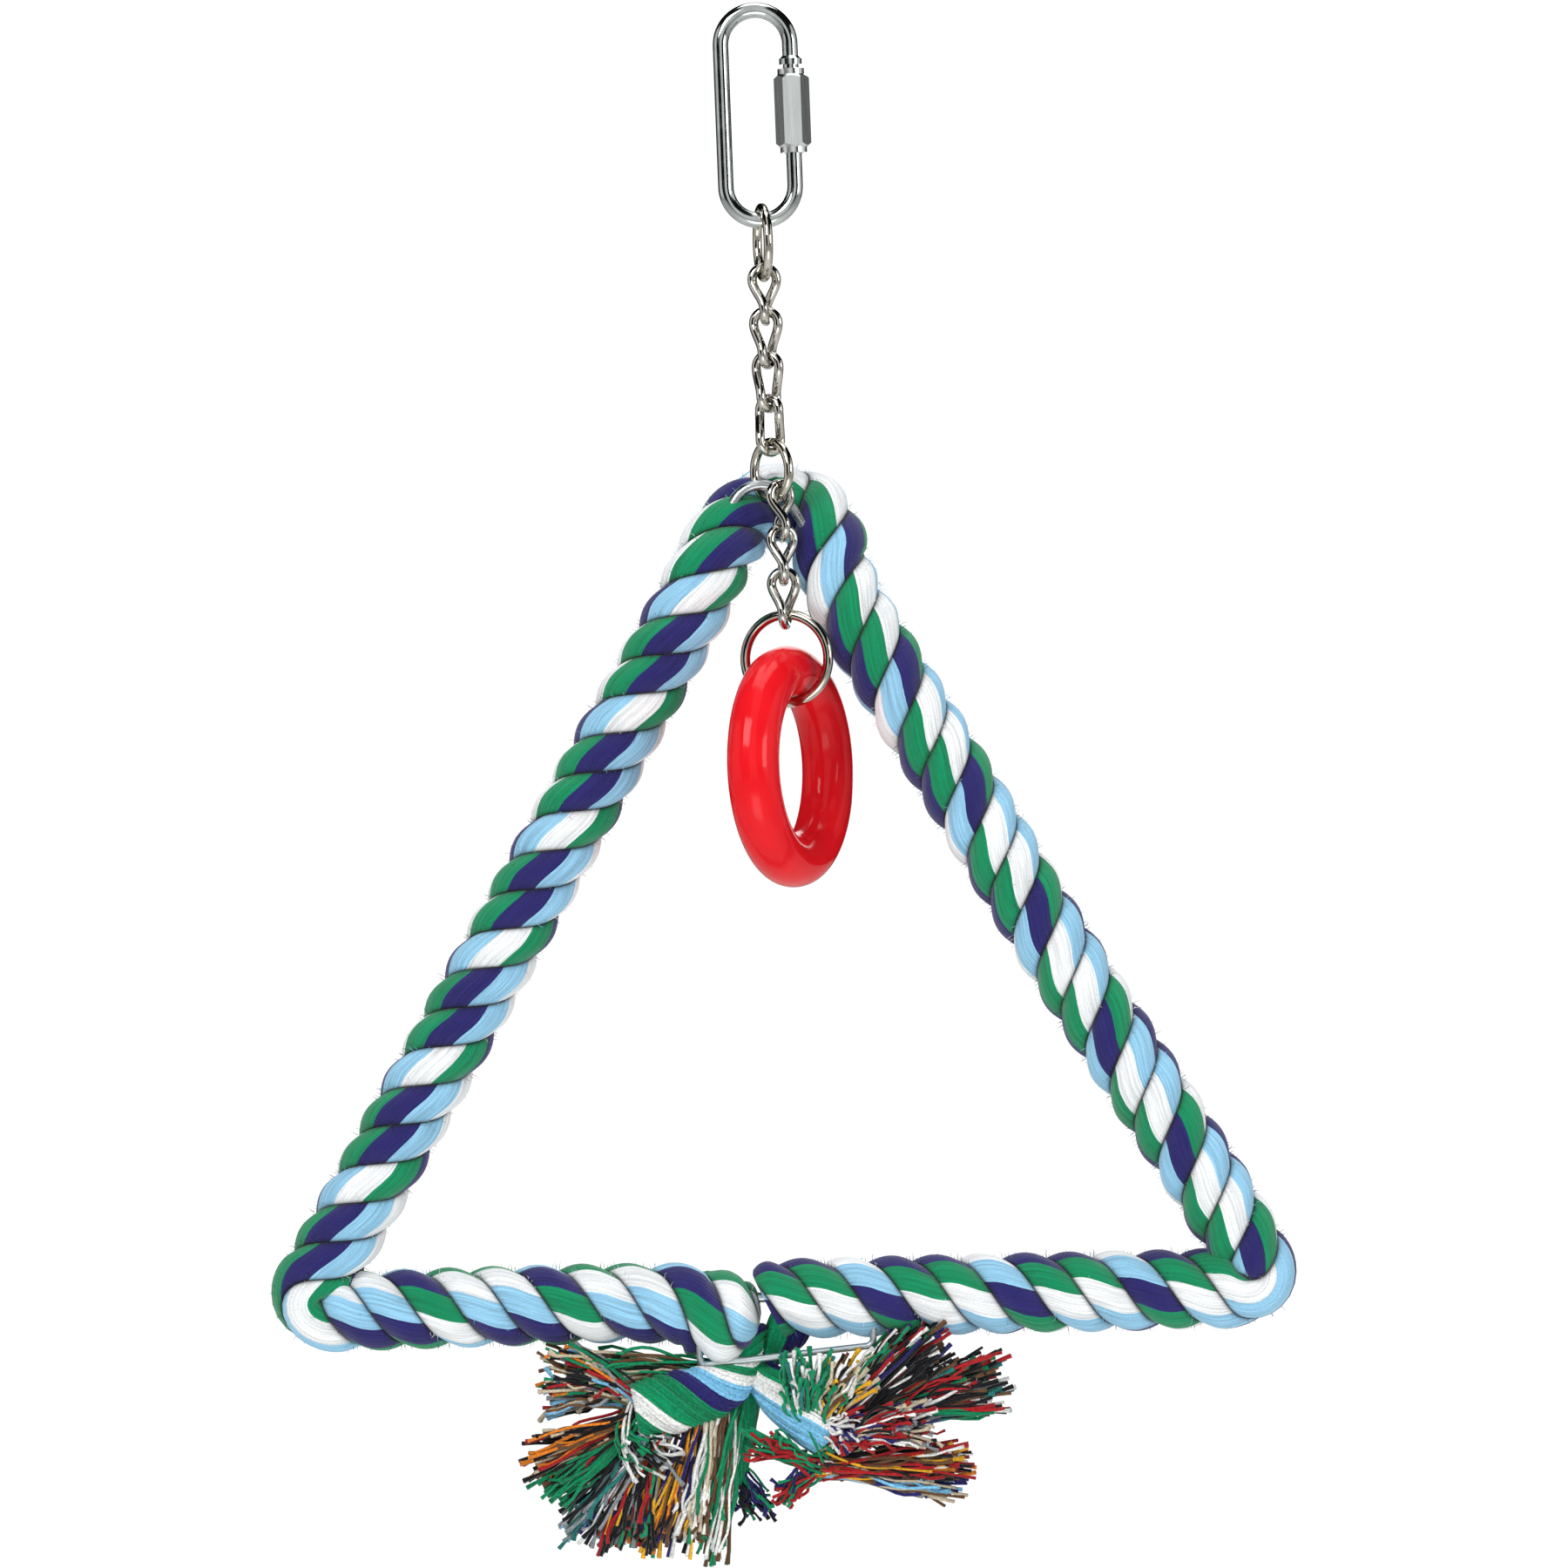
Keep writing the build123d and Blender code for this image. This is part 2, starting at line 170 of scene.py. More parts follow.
# ---- Rope ----
# One length of soft three-strand cotton rope, laid right-handed round the steel triangle from
# one side of the perch's gap to the other. Each strand is spun from bundles of green, white,
# light blue and navy yarn that lie along the rope, so its colours run in bands across the lay.
ROPE_RADIUS = 0.0116
PERCH_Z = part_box("rope_left")[0].z + ROPE_RADIUS
ROPE_Y = 0.0027            # plane of the steel triangle, a little behind the quick link's
ROUTE_STEP = 0.001
ROPE_ROUTE = [
    (-0.0132, ROPE_Y, PERCH_Z - 0.0078),
    (-0.0240, ROPE_Y, PERCH_Z - 0.0055),
    (-0.0400, ROPE_Y, PERCH_Z - 0.0003),
    (-0.0815, ROPE_Y, PERCH_Z + 0.0003),
    (-0.1236, ROPE_Y, PERCH_Z + 0.0006),
    (-0.1490, ROPE_Y, PERCH_Z + 0.0006),
    (-0.1350, ROPE_Y, -0.3531),
    (-0.1164, ROPE_Y, -0.3222),
    (-0.0850, ROPE_Y, -0.2700),
    (-0.0560, ROPE_Y, -0.2218),
    (-0.0400, ROPE_Y, -0.1953),
    (-0.0240, 0.0030, -0.1695),
    (-0.0150, 0.0060, -0.1515),
    (-0.0035, 0.0220, -0.1420),
    (0.0080, 0.0215, -0.1410),
    (0.0150, 0.0105, -0.1500),
    (0.0185, 0.0050, -0.1680),
    (0.0302, ROPE_Y, -0.1900),
    (0.0510, ROPE_Y, -0.2263),
    (0.0797, ROPE_Y, -0.2790),
    (0.1110, ROPE_Y, -0.3310),
    (0.1255, ROPE_Y, -0.3560),
    (0.1368, ROPE_Y, PERCH_Z - 0.0027),
    (0.1150, ROPE_Y, PERCH_Z - 0.0024),
    (0.0843, ROPE_Y, PERCH_Z - 0.0020),
    (0.0300, ROPE_Y, PERCH_Z - 0.0010),
    (-0.0175, ROPE_Y, PERCH_Z - 0.0006),
]


def nurbs_line(route, step):
    """Evenly spaced points along the smooth NURBS line whose control points are the route."""
    curve = bpy.data.curves.new("route", "CURVE")
    curve.dimensions = "3D"
    curve.resolution_u = 24
    spline = curve.splines.new("NURBS")
    spline.points.add(len(route) - 1)
    for point, place in zip(spline.points, route):
        point.co = (*place, 1)
    spline.order_u = 3
    spline.use_endpoint_u = True
    carrier = bpy.data.objects.new("route", curve)
    mesh = bpy.data.meshes.new_from_object(carrier)
    line = np.array([vertex.co for vertex in mesh.vertices])
    bpy.data.objects.remove(carrier)
    bpy.data.meshes.remove(mesh)
    bpy.data.curves.remove(curve)
    run = np.concatenate([[0], np.cumsum(np.linalg.norm(np.diff(line, axis=0), axis=1))])
    places = np.linspace(0, run[-1], int(round(run[-1] / step)) + 1)
    return np.column_stack([np.interp(places, run, line[:, axis]) for axis in range(3)]), places


def unit(rows):
    """Rows scaled to length one."""
    return rows / np.linalg.norm(rows, axis=1, keepdims=True)


def mesh_piece(name, vertices, faces, material):
    """A new smooth-shaded mesh object with one material."""
    mesh = bpy.data.meshes.new(name)
    mesh.from_pydata(vertices.tolist(), [], faces)
    mesh.update()
    piece = bpy.data.objects.new(name, mesh)
    bpy.context.scene.collection.objects.link(piece)
    mesh.polygons.foreach_set("use_smooth", [True] * len(mesh.polygons))
    mesh.materials.append(material)
    return piece


def tube_faces(rings, around, start=0):
    """Quads round a closed tube of rings, wound so that they face outwards, with both ends closed."""
    faces = []
    for ring in range(rings - 1):
        low = start + ring * around
        for corner in range(around):
            after = (corner + 1) % around
            faces.append((low + corner, low + around + corner, low + around + after, low + after))
    faces.append(tuple(range(start, start + around)))
    faces.append(tuple(start + (rings - 1) * around + corner for corner in reversed(range(around))))
    return faces


rope_line, rope_run = nurbs_line(ROPE_ROUTE, ROUTE_STEP)
tangent = unit(np.gradient(rope_line, axis=0))
to_viewer = np.array([0.0, -1.0, 0.0])
front = unit(to_viewer - tangent * (tangent @ to_viewer)[:, None])
inward = np.cross(tangent, front)
bend = np.gradient(tangent, axis=0) / np.gradient(rope_run)[:, None]

# The lay, and how far the colours have turned along the rope, at runs from its left end
LAY_LENGTH = 0.0392
STRAND_PHASE = (0.0, 0.03, 0.25)
DRIFT_RUN = (0.0, 0.12, 0.16, 0.36, 0.43, 0.62, 0.67, 0.79)
DRIFT_TURN = (-0.05, -0.10, -0.16, -0.22, -0.30, -0.49, -0.44, -0.41)
LAY_UV_LENGTH = 0.05       # length of rope in one unit of the "lay" map

# Cross-section of one strand, which meets its neighbours in creases at the ends of its outer arc.
# Its inner walls run back to the steel, out of sight.
STRAND_OFFSET = 0.0036
STRAND_ROUND = ROPE_RADIUS + 0.0003 - STRAND_OFFSET
HALF_ARC = 59.3
ARC_POINTS = 25
CREASE_START = 40.0        # degrees from the arc's middle, where the painted shade of the crease begins
WALL_REACH = (0.0045, 0.0022, 0.0045)
WALL_TURN = (1.6, 3.1, -1.6)
arc_angle = np.radians(np.linspace(-HALF_ARC, HALF_ARC, ARC_POINTS))
arc_depth = STRAND_OFFSET * np.sin(arc_angle)
arc_reach = STRAND_OFFSET * np.cos(arc_angle) + np.sqrt(STRAND_ROUND**2 - arc_depth**2)
arc_facing = np.arctan2(arc_reach * np.sin(arc_angle), arc_reach * np.cos(arc_angle) - STRAND_OFFSET)
arc_turn = 0.5 * arc_angle + 0.5 * arc_facing
profile_angle = np.concatenate([arc_angle, [arc_angle[-1], 0.0, arc_angle[0]]])
profile_reach = np.concatenate([arc_reach, WALL_REACH])
profile_normal = np.concatenate([arc_turn, WALL_TURN])
# Painted shade: a weight that rises steeply towards the creases between strands, and is full on the hidden
# inner walls
past_start = (np.abs(profile_angle) - np.radians(CREASE_START)) / np.radians(HALF_ARC - CREASE_START)
painted_crease_shade = np.clip(past_start, 0, 1) ** 3
painted_crease_shade[-len(WALL_REACH):] = 1.0

# Both ends are rounded over, and the left one has slackened and swollen
END_ROUND = 0.009
SLACK_RUN = (0.0, 0.012, 0.035)
SLACK_SWELL = (1.22, 1.2, 1.0)
ends = np.minimum(rope_run, rope_run[-1] - rope_run)
swell = np.sqrt(np.clip(1 - (1 - np.clip(ends / END_ROUND, 0, 1)) ** 2, 0.05, 1))
swell *= np.interp(rope_run, SLACK_RUN, SLACK_SWELL)

# The right end is cut on the slant of the lay
CUT_X = -0.0115
CUT_SLANT = 0.47
CUT_LENGTH = 0.03


def bent_in(offset):
    """Crowd a cross-section's offsets on the inside of a bend, so that it never folds over itself."""
    sharp = np.maximum(np.linalg.norm(bend, axis=1), 1e-6)[:, None]
    towards = bend / sharp
    depth = np.einsum("rcx,rx->rc", offset, towards)
    room = 1 / sharp
    crowded = np.where(depth > 0, room * (1 - np.exp(-np.maximum(depth, 0) / room)), depth)
    return offset + (crowded - depth)[:, :, None] * towards[:, None, :]


def cotton_rope_material(name, colours, yarn_turn):
    """Soft spun cotton in bands of colour, matt, whose fine yarns lie side by side along the strand, with
    painted shade that darkens it towards the creases between strands.
    """
    made, tree = new_material(name)
    laid = add_node(tree, "ShaderNodeUVMap", uv_map="lay")
    wander = add_node(tree, "ShaderNodeTexNoise", {"Vector": laid.outputs[0], "Scale": 3.0, "Detail": 3.0})
    shift = add_node(tree, "ShaderNodeMath", {
        0: wander.outputs["Fac"], 1: 0.03, 2: -0.015,
    }, operation="MULTIPLY_ADD")
    across = add_node(tree, "ShaderNodeSeparateXYZ", {0: laid.outputs[0]})
    moved = add_node(tree, "ShaderNodeMath", {0: across.outputs["Y"], 1: shift.outputs[0]}, operation="ADD")
    twice = add_node(tree, "ShaderNodeMath", {0: moved.outputs[0], 1: 2.0}, operation="MULTIPLY")
    share = add_node(tree, "ShaderNodeMath", {0: twice.outputs[0]}, operation="FRACT")
    bands = add_node(tree, "ShaderNodeValToRGB", {"Fac": share.outputs[0]})
    bands.color_ramp.interpolation = "CONSTANT"
    while len(bands.color_ramp.elements) < len(colours):
        bands.color_ramp.elements.new(0.5)
    for place, (element, colour) in enumerate(zip(bands.color_ramp.elements, colours)):
        element.position = place / len(colours)
        element.color = linear(colour)
    along = add_node(tree, "ShaderNodeMapping", {
        "Vector": laid.outputs[0], "Scale": (2.2, 1 / yarn_turn, 1.0),
    })
    yarns = add_node(tree, "ShaderNodeTexNoise", {
        "Vector": along.outputs[0], "Scale": 1.0, "Detail": 3.0, "Roughness": 0.65,
    })
    fibre = add_node(tree, "ShaderNodeTexNoise", {"Vector": laid.outputs[0], "Scale": 170.0, "Detail": 2.0})
    both = add_node(tree, "ShaderNodeMix", {
        "Factor": 0.35, "A": yarns.outputs["Fac"], "B": fibre.outputs["Fac"],
    })
    tone = add_node(tree, "ShaderNodeMapRange", {
        "Value": both.outputs["Result"], "From Min": 0.38, "From Max": 0.62, "To Min": 0.62, "To Max": 1.08,
    })
    # Painted shade: the colour is multiplied down to 0.12 towards the creases between strands
    painted_shade_weight = add_node(tree, "ShaderNodeAttribute", attribute_name="painted_crease_shade")
    depth = add_node(tree, "ShaderNodeMapRange", {
        "Value": painted_shade_weight.outputs["Fac"], "To Min": 1.0, "To Max": 0.12,
    })
    shade = add_node(tree, "ShaderNodeMath", {
        0: tone.outputs[0], 1: depth.outputs[0],
    }, operation="MULTIPLY")
    coloured = add_node(tree, "ShaderNodeMix", {
        "Factor": 1.0, "A": bands.outputs["Color"], "B": shade.outputs[0],
    }, data_type="RGBA", blend_type="MULTIPLY")
    relief = add_node(tree, "ShaderNodeBump", {
        "Height": both.outputs["Result"], "Strength": 0.9, "Distance": 0.0006,
    })
    finish_material(tree, add_node(tree, "ShaderNodeBsdfPrincipled", {
        "Base Color": coloured.outputs["Result"], "Roughness": 0.92, "Normal": relief.outputs["Normal"],
        "Specular IOR Level": 0.2, "Sheen Weight": 0.25, "Sheen Roughness": 0.5,
    }))
    return made


# Cotton dyed in four colours, spun and laid: each strand carries the four bands twice round
ROPE_COLOURS = ("#028E5D", "#F7FAFC", "#98D0F0", "#26226A")
YARN_TURN = 0.012          # width of one yarn, as a share of a turn round the strand
rope_cotton = cotton_rope_material("spun_cotton_laid_rope", ROPE_COLOURS, YARN_TURN)


def lay_map(piece, lay):
    """Give a piece its "lay" map from one row for each vertex: run along the rope, and turn round it."""
    corners = np.empty(len(piece.data.loops), np.int32)
    piece.data.loops.foreach_get("vertex_index", corners)
    piece.data.uv_layers.new(name="lay").data.foreach_set("uv", lay[corners].ravel())


def rope_strand(number):
    """One strand of the rope: its outline is a domed third of the rope's round, turned along the lay."""
    phase = 2 * math.pi * (number / 3) - 2 * math.pi * rope_run / LAY_LENGTH
    angle = phase[:, None] + profile_angle[None, :]
    size = profile_reach[None, :] * swell[:, None]
    offset = size[:, :, None] * (
        np.cos(angle)[:, :, None] * inward[:, None, :] + np.sin(angle)[:, :, None] * front[:, None, :]
    )
    vertices = (rope_line[:, None, :] + bent_in(offset)).reshape(-1, 3)
    cut = CUT_X - CUT_SLANT * (vertices[:, 2] - PERCH_Z)
    last = np.repeat(rope_run > rope_run[-1] - CUT_LENGTH, len(profile_angle))
    vertices[:, 0] = np.where(last, np.maximum(vertices[:, 0], cut), vertices[:, 0])
    faces = tube_faces(len(rope_run), len(profile_angle))
    piece = mesh_piece(f"rope_strand_{number + 1}", vertices, faces, rope_cotton)
    drift = np.interp(rope_run, DRIFT_RUN, DRIFT_TURN)[:, None] + STRAND_PHASE[number]
    turns = (phase[:, None] + profile_normal[None, :]) / (2 * math.pi) - drift
    runs = np.broadcast_to(rope_run[:, None] / LAY_UV_LENGTH, turns.shape)
    lay_map(piece, np.stack([runs, turns], axis=2).reshape(-1, 2))
    # The painted crease shade, stored on each vertex of the strand
    depth = piece.data.attributes.new("painted_crease_shade", "FLOAT", "POINT")
    depth.data.foreach_set("value", np.tile(painted_crease_shade, len(rope_run)).astype(np.float32))
    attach(piece, "swing")
    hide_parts("rope_left", "rope_crown", "rope_right")


for number in range(3):
    rope_strand(number)

# Broken fibre ends stand off the rope as a thin fuzz, each in the colour of the yarn below it
FUZZ_COUNT = 9000
FUZZ_LENGTH = (0.0009, 0.0021)
FUZZ_DEPTH = 0.0012        # how far below the rope's round each fibre has its foot
FUZZ_RADIUS = 0.00007
FUZZ_TAPER = np.array([1.0, 0.8, 0.3])
FUZZ_VERTICES = 9          # three rings of three to a fibre


def surface_turn(place, turned):
    """Turn of the colours at a place along the rope, for a direction round it."""
    phases = 2 * math.pi * (np.arange(3) / 3 - rope_run[place] / LAY_LENGTH)
    gap = (turned - phases + math.pi) % (2 * math.pi) - math.pi
    owner = int(np.argmin(np.abs(gap)))
    outer = phases[owner] + np.interp(gap[owner], arc_angle, arc_turn)
    return outer / (2 * math.pi) - np.interp(rope_run[place], DRIFT_RUN, DRIFT_TURN) - STRAND_PHASE[owner]


def rope_fuzz():
    """Short bent fibres over the whole rope, as three-sided tapered tubes."""
    random = np.random.default_rng(5)
    root = random.integers(4, len(rope_run) - 14, FUZZ_COUNT)
    angle = random.uniform(0, 2 * np.pi, FUZZ_COUNT)
    outward = np.cos(angle)[:, None] * inward[root] + np.sin(angle)[:, None] * front[root]
    lean = unit(outward + 0.9 * random.normal(0, 1, (FUZZ_COUNT, 3)))
    foot = rope_line[root] + outward * (ROPE_RADIUS - FUZZ_DEPTH)
    length = random.uniform(*FUZZ_LENGTH, FUZZ_COUNT)[:, None]
    knee = foot + outward * length * 0.6
    tip = knee + lean * length * 0.7
    hair = np.stack([foot, knee, tip], axis=1)
    wide = FUZZ_RADIUS * unit(np.cross(outward, tangent[root]) + 0.01)
    thick = FUZZ_RADIUS * tangent[root]
    corner = np.stack([wide, thick - wide, -thick], axis=1)
    vertices = (hair[:, :, None, :] + corner[:, None, :, :] * FUZZ_TAPER[:, None, None]).reshape(-1, 3)
    faces = [face for number in range(FUZZ_COUNT) for face in tube_faces(3, 3, number * FUZZ_VERTICES)]
    piece = mesh_piece("rope_fuzz", vertices, faces, rope_cotton)
    turns = [surface_turn(place, turned) for place, turned in zip(root, angle)]
    lay = np.column_stack([rope_run[root] / LAY_UV_LENGTH, turns])
    lay_map(piece, np.repeat(lay, FUZZ_VERTICES, axis=0))
    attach(piece, "swing")
    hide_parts("rope_left", "rope_crown", "rope_right")


rope_fuzz()

# ---- Steel triangle ----
# A bright drawn steel rod bent to a triangle inside the rope, which lays itself round it. It shows
# only in the perch's gap and where its top bend crosses the welded ring.


def plated_metal(name, low, high, roughness, streak=(1.0, 1.0, 1.0), relief_depth=0.00002):
    """Plated or polished steel: its tone and gloss wander a little, over fine handling marks."""
    made, tree = new_material(name)
    place = add_node(tree, "ShaderNodeTexCoord")
    drawn = add_node(tree, "ShaderNodeMapping", {"Vector": place.outputs["Object"], "Scale": streak})
    cloud = add_node(tree, "ShaderNodeTexNoise", {
        "Vector": drawn.outputs[0], "Scale": 260.0, "Detail": 4.0,
    })
    tint = add_node(tree, "ShaderNodeMix", {
        "Factor": cloud.outputs["Fac"], "A": linear(low), "B": linear(high),
    }, data_type="RGBA")
    gloss = add_node(tree, "ShaderNodeMapRange", {
        "Value": cloud.outputs["Fac"], "From Min": 0.3, "From Max": 0.7,
        "To Min": roughness * 0.7, "To Max": roughness * 1.4,
    })
    marks = add_node(tree, "ShaderNodeTexNoise", {
        "Vector": drawn.outputs[0], "Scale": 1500.0, "Detail": 3.0,
    })
    relief = add_node(tree, "ShaderNodeBump", {
        "Height": marks.outputs["Fac"], "Strength": 0.4, "Distance": relief_depth,
    })
    finish_material(tree, add_node(tree, "ShaderNodeBsdfPrincipled", {
        "Base Color": tint.outputs["Result"], "Metallic": 1.0, "Roughness": gloss.outputs[0],
        "Normal": relief.outputs["Normal"],
    }))
    return made


def dress(material, *names):
    """Give CAD nodes their one material."""
    for name in names:
        mesh = nodes[name].data
        mesh.materials.clear()
        mesh.materials.append(material)


# Bare rod, drawn through a die and dulled by handling
dress(plated_metal("drawn_steel_rod", "#8F9496", "#C4C8CA", 0.3), "frame_wire")

# ---- Staple ----
# Galvanised wire bent into a wide staple and pressed up into both rope ends. Its back is slung
# below the perch and holds the unlaid strands that come down through the gap.

# Wire dipped in molten zinc, which leaves a dull and slightly rough skin
dress(
    plated_metal("hot_dip_galvanised_wire", "#8E9A9E", "#D3DADB", 0.42, relief_depth=0.00006),
    "end_staple",
)

# ---- Unlaid strands ----
# The rope's strands, opened out where they leave its two ends. Each is a thick bundle of fine
# parallel yarns that still keeps some of its old twist, gathered behind the staple.


def hang(x, back, drop):
    """A point, from millimetres across, behind the steel and below the perch's centre line."""
    return np.array([x, ROPE_Y * 1000 + back, PERCH_Z * 1000 - drop]) / 1000


YARN_RADIUS = 0.00046
YARN_TINTS = {
    "green": "#04905E", "navy": "#28246C", "light": "#7FC4EA", "white": "#F4F5F3", "red": "#B01C22",
    "orange": "#E2801E", "yellow": "#F2B422", "brown": "#6B4A2E", "black": "#15161A", "grey": "#8F979C",
    "beige": "#CDBFA4", "teal": "#1F7F78",
}
palette = {name: np.array(linear(colour)) for name, colour in YARN_TINTS.items()}


def yarn_material(name):
    """Spun cotton yarn that takes its colour from each yarn, darker and lighter along its ply."""
    made, tree = new_material(name)
    own = add_node(tree, "ShaderNodeAttribute", attribute_name="tint")
    place = add_node(tree, "ShaderNodeTexCoord")
    fibre = add_node(tree, "ShaderNodeTexNoise", {
        "Vector": place.outputs["Object"], "Scale": 1300.0, "Detail": 3.0,
    })
    tone = add_node(tree, "ShaderNodeMapRange", {
        "Value": fibre.outputs["Fac"], "From Min": 0.3, "From Max": 0.7, "To Min": 0.62, "To Max": 1.15,
    })
    coloured = add_node(tree, "ShaderNodeMix", {
        "Factor": 1.0, "A": own.outputs["Color"], "B": tone.outputs[0],
    }, data_type="RGBA", blend_type="MULTIPLY")
    relief = add_node(tree, "ShaderNodeBump", {
        "Height": fibre.outputs["Fac"], "Strength": 0.6, "Distance": 0.0003,
    })
    finish_material(tree, add_node(tree, "ShaderNodeBsdfPrincipled", {
        "Base Color": coloured.outputs["Result"], "Roughness": 0.95, "Normal": relief.outputs["Normal"],
        "Specular IOR Level": 0.15, "Sheen Weight": 0.15, "Sheen Roughness": 0.5,
    }))
    return made


def yarn_piece(name, lines, radii, tints, material, sides=5):
    """Many yarns as one mesh: round tubes along their lines, each in its own colour."""
    count, points = lines.shape[:2]
    along = np.gradient(lines, axis=1)
    along /= np.linalg.norm(along, axis=2, keepdims=True)
    across = np.cross(along, np.array([0.12, 0.95, 0.28]))
    across /= np.maximum(np.linalg.norm(across, axis=2, keepdims=True), 1e-6)
    upward = np.cross(along, across)
    spin = 2 * np.pi * np.arange(sides) / sides
    ring = np.cos(spin)[:, None] * across[:, :, None, :] + np.sin(spin)[:, None] * upward[:, :, None, :]
    vertices = lines[:, :, None, :] + radii[:, :, None, None] * ring
    faces = []
    for number in range(count):
        faces += tube_faces(points, sides, number * points * sides)
    piece = mesh_piece(name, vertices.reshape(-1, 3), faces, material)
    tint = piece.data.attributes.new("tint", "FLOAT_COLOR", "POINT")
    tint.data.foreach_set("color", np.repeat(tints, points * sides, axis=0).astype(np.float32).ravel())
    return piece


def smooth_path(stations, count):
    """Even samples of a smooth line through stations of any width, by Catmull-Rom."""
    keys = np.array(stations, float)
    keys = np.vstack([2 * keys[0] - keys[1], keys, 2 * keys[-1] - keys[-2]])
    share = np.linspace(0, len(stations) - 1 - 1e-6, count)
    start = share.astype(int)
    t = (share - start)[:, None]
    a, b, c, d = (keys[start + step] for step in range(4))
    return 0.5 * (2 * b + (c - a) * t + (2 * a - 5 * b + 4 * c - d) * t**2 + (3 * b - a - 3 * c + d) * t**3)


LAYERS = ((1.0, 104), (0.86, 60), (0.6, 30))   # depth of each layer of yarns, and how many it has
STRAND_POINTS = 34


def strand_end(name, replaced, stations, bands, turns, seed):
    """An opened strand: a skin of fine yarns wound round stations of (x, back, drop, thickness)."""
    random = np.random.default_rng(seed)
    path = smooth_path(stations, STRAND_POINTS)
    centre = np.array([hang(*row[:3]) for row in path])
    thickness = path[:, 3] / 2000
    along = unit(np.gradient(centre, axis=0))
    side = unit(np.cross(along, np.array([0.0, 1.0, 0.0])))
    face = np.cross(side, along)
    lines, radii, tints = [], [], []
    for depth, count in LAYERS:
        for number in range(count):
            angle = 2 * np.pi * (number + random.uniform(-0.3, 0.3)) / count
            turned = angle + 2 * np.pi * turns * np.linspace(0, 1, len(path))
            sway = random.uniform(0, 6.3) + np.linspace(0, random.uniform(4, 9), len(path))
            wave = 1 + 0.035 * np.sin(sway)
            reach_out = (thickness * depth * wave * random.uniform(0.95, 1.04))[:, None]
            away = np.cos(turned)[:, None] * side + np.sin(turned)[:, None] * face
            lines.append(centre + reach_out * away)
            radii.append(YARN_RADIUS * random.uniform(0.8, 1.3) * np.ones(len(path)))
            band = bands[int(angle / (2 * np.pi) % 1 * len(bands))]
            tints.append(palette[band] * random.uniform(0.8, 1.12))
    piece = yarn_piece(name, np.array(lines), np.array(radii), np.array(tints), opened_cotton)
    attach(piece, "swing")
    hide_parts(replaced)


# Dyed cotton yarn, spun and then opened out of its strand by hand
opened_cotton = yarn_material("opened_cotton_strand")
strand_end(
    "left_strand_end", "left_tail",
    [
        (-17, 2, 9, 12), (-17, 0, 16, 8), (-18, -1, 21, 8),
        (-25, -4, 26, 14), (-36, -5, 29, 17), (-50, -5, 31.5, 17),
    ],
    ["green", "green", "white", "green", "white", "light", "navy"], -1.7, 11,
)
strand_end(
    "right_strand_end", "right_tail",
    [
        (-14, 6, 11, 8), (-14.5, 4, 18, 7), (-13, 1, 23, 9),
        (-8, -2, 28, 13), (0, -3, 35, 15), (6, -3, 42, 12),
    ],
    ["light", "light", "light", "light", "white", "green", "navy", "navy"], 0.3, 12,
)
strand_end(
    "hanging_strand_end", "hanging_tail",
    [
        (-2, 3, 3, 11), (-5, 3, 10, 11.5), (-11, 6, 17, 8),
        (-17, 5, 25, 8), (-21, 2, 36, 11), (-24, 2, 55, 8),
    ],
    ["green", "green", "green", "green", "navy", "navy"], 0.5, 13,
)

# ---- Loose yarn ----
# Beyond the strands' ends the yarns have come apart into tufts, cut to ragged lengths. The
# outside of the rope is dyed cotton, but its core is spun from offcuts of every colour.
TUFT_ROOT = 3.5            # millimetres across the place where a tuft's yarns leave the strand
TUFT_POINTS = 13


def tuft(random, root, middle, tip, spread, count, colours):
    """Yarns that leave one root together and part on the way to their own tips."""
    share = np.linspace(0, 1, TUFT_POINTS)[:, None]
    lines, radii, tints = [], [], []
    for number in range(count):
        start = np.array(root) + random.normal(0, TUFT_ROOT / 2, 3)
        aim = random.uniform(-1, 1, 3) * np.array(spread)
        turn_at = np.array(middle) + aim * 0.45 + random.normal(0, 1.2, 3)
        end = np.array(tip) + aim
        end = turn_at + (end - turn_at) * random.uniform(0.72, 1.08)
        line = (1 - share) ** 2 * start + 2 * share * (1 - share) * turn_at + share**2 * end
        sway = random.normal(0, 0.7, (2, 3))
        pace = random.uniform(5, 11)
        line = line + share * (sway[0] * np.sin(pace * share) + sway[1] * np.cos(pace * 1.7 * share))
        lines.append(np.array([hang(*row) for row in line]))
        size = YARN_RADIUS * random.uniform(0.75, 1.3) * np.ones(TUFT_POINTS)
        size[-1] *= random.uniform(1.1, 1.7)
        radii.append(size)
        tints.append(palette[colours[random.integers(len(colours))]] * random.uniform(0.75, 1.1))
    return np.array(lines), np.array(radii), np.array(tints)


def tufts(name, replaced, seed, rows):
    """Several tufts as one piece."""
    random = np.random.default_rng(seed)
    made = [tuft(random, *row) for row in rows]
    piece = yarn_piece(name, *(np.concatenate(kind) for kind in zip(*made)), loose_cotton, sides=4)
    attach(piece, "swing")
    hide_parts(replaced)


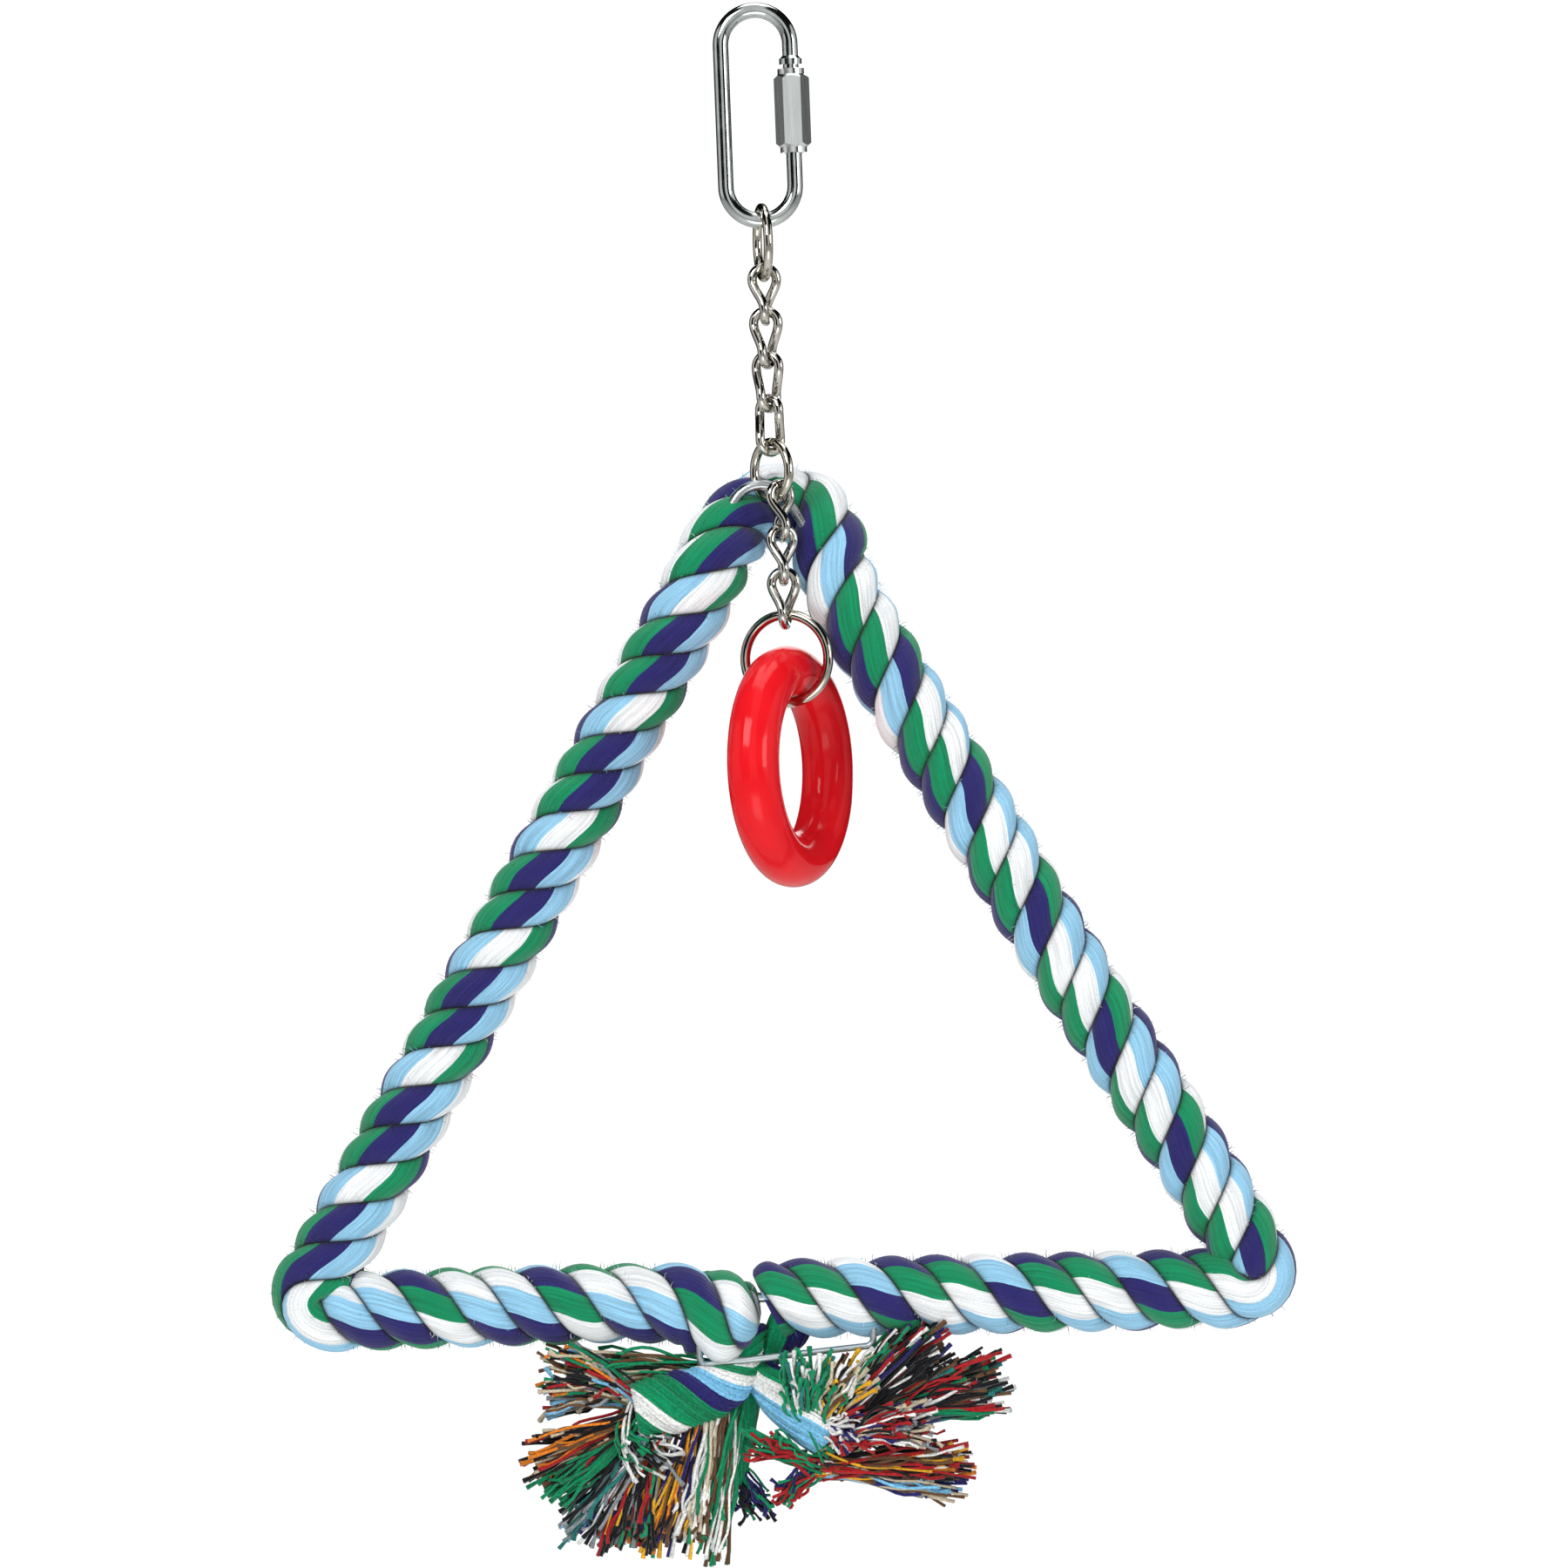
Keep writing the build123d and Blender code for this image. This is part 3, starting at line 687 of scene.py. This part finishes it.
# Cotton yarn cut to length and frayed
loose_cotton = yarn_material("loose_cotton_yarn")
tufts("left_loose_yarn", "left_fray", 21, [
    ((-48, -4, 30), (-58, -6, 22), (-72, -4, 22), (7, 5, 11), 144,
     ["beige", "beige", "black", "grey", "red", "brown", "green", "orange", "black", "light"]),
    ((-46, -4, 32), (-58, -8, 38), (-78, -5, 45), (6, 6, 8), 128,
     ["brown", "red", "orange", "beige", "black", "black", "brown"]),
    ((-48, -5, 32), (-56, -9, 42), (-76, -8, 55), (5, 3, 4), 54,
     ["green"]),
    ((-46, -5, 34), (-54, -8, 50), (-66, -5, 64), (7, 6, 6), 176,
     ["grey", "light", "white", "navy", "black", "black", "grey", "teal"]),
    ((-40, -4, 33), (-50, -8, 50), (-54, -6, 68), (9, 6, 5), 192,
     ["red", "orange", "black", "brown", "yellow", "black", "red", "green", "grey"]),
    ((-33, -4, 31), (-36, -9, 50), (-44, -7, 68), (7, 5, 5), 144,
     ["yellow", "orange", "navy", "black", "brown", "yellow", "white", "black"]),
    ((-27, -4, 30), (-30, -10, 48), (-36, -8, 68), (4, 4, 4), 96,
     ["white", "white", "beige", "green", "brown"]),
    ((-22, -2, 32), (-24, -7, 50), (-30, -6, 72), (4, 4, 6), 96,
     ["green", "green", "green", "white", "brown"]),
    ((-50, -4, 29), (-56, -9, 40), (-44, -10, 46), (9, 5, 7), 80,
     ["white", "green", "light", "black", "grey", "white"]),
    ((-24, 2, 50), (-17, 0, 58), (-16, -1, 62), (6, 4, 5), 41,
     ["navy", "navy", "green", "black"]),
    ((-22, 0, 24), (-40, -2, 18), (-62, -3, 20), (8, 5, 6), 96,
     ["green", "black", "beige", "green", "brown"]),
])
tufts("right_loose_yarn", "right_fray", 22, [
    ((5, -4, 46), (-2, -9, 34), (1, -11, 20), (8, 4, 5), 96,
     ["green", "green", "white", "green", "teal"]),
    ((6, -4, 44), (4, -9, 30), (14, -10, 22), (7, 5, 6), 96,
     ["white", "yellow", "beige", "green", "black", "brown"]),
    ((6, -3, 42), (14, -8, 30), (36, -6, 14), (8, 6, 8), 240,
     ["black", "red", "white", "green", "black", "navy", "black", "brown", "black"]),
    ((10, -3, 40), (28, -6, 32), (53, -4, 27), (6, 6, 9), 240,
     ["brown", "black", "red", "red", "green", "white", "teal", "black", "black"]),
    ((8, -4, 44), (20, -10, 38), (32, -10, 38), (7, 5, 8), 144,
     ["beige", "white", "black", "navy", "grey", "red"]),
    ((4, -4, 50), (16, -8, 50), (42, -5, 50), (6, 5, 5), 176,
     ["red", "orange", "brown", "yellow", "black", "red", "black", "white"]),
    ((4, -4, 50), (18, -6, 54), (40, -4, 58), (5, 4, 4), 80,
     ["navy", "light", "brown", "navy", "beige"]),
    ((2, -5, 50), (-6, -8, 46), (-15, -8, 42), (5, 4, 4), 54,
     ["red", "green", "red", "green"]),
    ((2, -5, 50), (-4, -7, 54), (-8, -6, 58), (4, 4, 4), 41,
     ["green", "red", "navy", "red"]),
    ((2, -4, 40), (8, -10, 36), (14, -9, 40), (6, 4, 7), 64,
     ["white", "navy", "white", "red"]),
])

# ---- Quick link ----
# A bent steel rod, zinc-plated bright, with a collar forged on its upper arm and a hexagonal
# sleeve nut that screws down across the gate.

# Rod polished before it is plated, and a nut plated over the lines that its turning left
dress(plated_metal("bright_zinc_plated_rod", "#8E9493", "#D2D7D5", 0.1), "quick_link_body")
dress(
    plated_metal("turned_zinc_plated_nut", "#B2B7B6", "#E4E7E6", 0.2, streak=(4.0, 4.0, 0.25)),
    "sleeve_nut",
)

# ---- Rings and chain ----
# Links of round wire are bent, closed and twisted, and the rings are butt-welded.
# Both are nickel-plated and tumbled, and each hangs loose in the one above it.

# Nickel plate on tumbled wire: bright and a little warm, the rings warmer than the chain
dress(
    plated_metal("nickel_plated_chain", "#8F8C85", "#DDDAD2", 0.09),
    *(f"chain_link_{number}" for number in range(1, 8)),
)
dress(plated_metal("nickel_plated_ring", "#8C877B", "#DAD5C8", 0.08), "top_ring", "apex_ring", "large_ring")

# ---- Toy ring ----
# A thick ring moulded in one piece of red plastic, threaded on the large ring so that it swings
# below the chain for the bird to pull at.


def moulded_plastic(name, low, high):
    """Coloured plastic from a polished mould, with faint flow marks in its tone, gloss and surface."""
    made, tree = new_material(name)
    place = add_node(tree, "ShaderNodeTexCoord")
    flow = add_node(tree, "ShaderNodeTexNoise", {
        "Vector": place.outputs["Object"], "Scale": 90.0, "Detail": 2.0,
    })
    tint = add_node(tree, "ShaderNodeMix", {
        "Factor": flow.outputs["Fac"], "A": linear(low), "B": linear(high),
    }, data_type="RGBA")
    ripple = add_node(tree, "ShaderNodeBump", {
        "Height": flow.outputs["Fac"], "Strength": 0.15, "Distance": 0.0002,
    })
    gloss = add_node(tree, "ShaderNodeMapRange", {
        "Value": flow.outputs["Fac"], "To Min": 0.08, "To Max": 0.18,
    })
    finish_material(tree, add_node(tree, "ShaderNodeBsdfPrincipled", {
        "Base Color": tint.outputs["Result"], "Roughness": gloss.outputs[0],
        "Normal": ripple.outputs["Normal"], "Specular IOR Level": 0.16,
    }))
    return made


# Bright red plastic, coloured through
dress(moulded_plastic("glossy_moulded_red_plastic", "#D4121B", "#E61B24"), "toy_ring")
